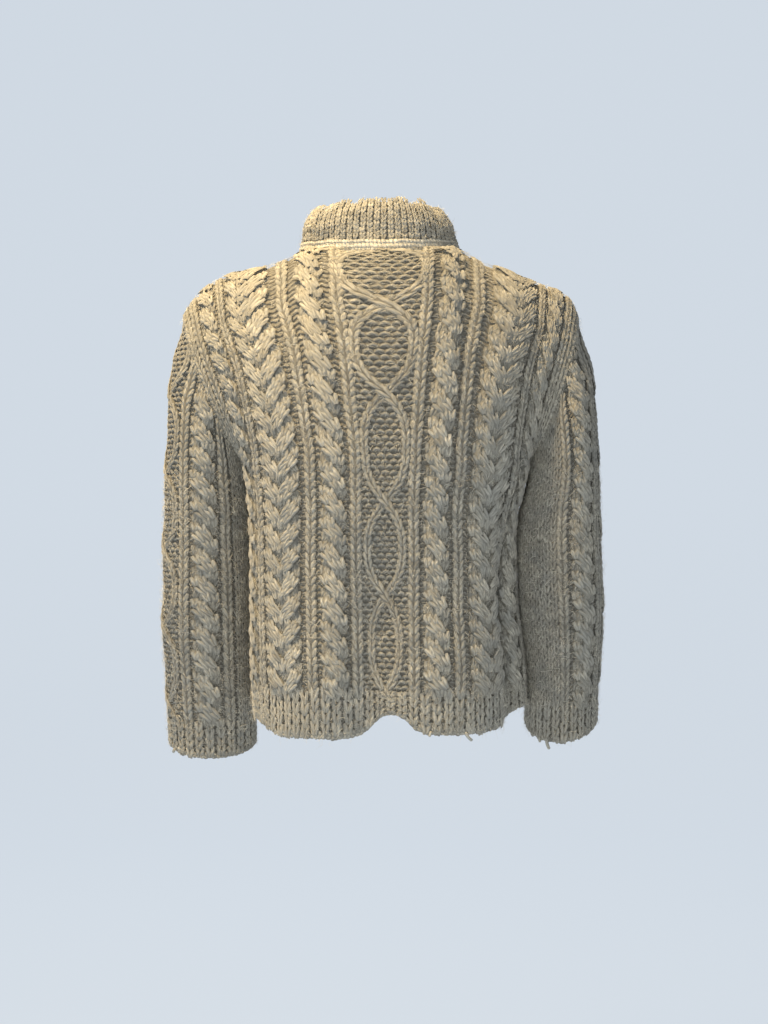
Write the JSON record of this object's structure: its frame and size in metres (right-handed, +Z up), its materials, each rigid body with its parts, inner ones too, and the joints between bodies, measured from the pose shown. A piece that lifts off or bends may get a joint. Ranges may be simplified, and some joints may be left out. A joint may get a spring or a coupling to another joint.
{
  "type": "cable knit sweater",
  "caption": "Chunky cable knit pullover with a high ribbed mock neck, drop shoulders and long sleeves, standing open and hollow as worn.",
  "frame": {"origin": "midway between the two side neck points, at the height where the shoulders carry the garment", "axes": "+Z up, +X towards the wearer's left sleeve, -Y towards the wearer's front"},
  "size_m": [0.5319, 0.2521, 0.6617],
  "materials": {
    "cable_knit": "chunky hand-knit oatmeal and grey melange wool, in cables, twisted ribs and purl ground, with a soft fuzzy nap",
    "rib_knit": "the same melange wool in ribbing, a little denser, with a soft fuzzy nap"
  },
  "bodies": {
    "root": {"back": "cable_knit", "front": "cable_knit", "sleeve_left": "cable_knit", "sleeve_right": "cable_knit", "hem_band_back": "rib_knit", "hem_band_front": "rib_knit", "cuff_left": "rib_knit", "cuff_right": "rib_knit", "collar": "rib_knit"}
  },
  "joints": []
}
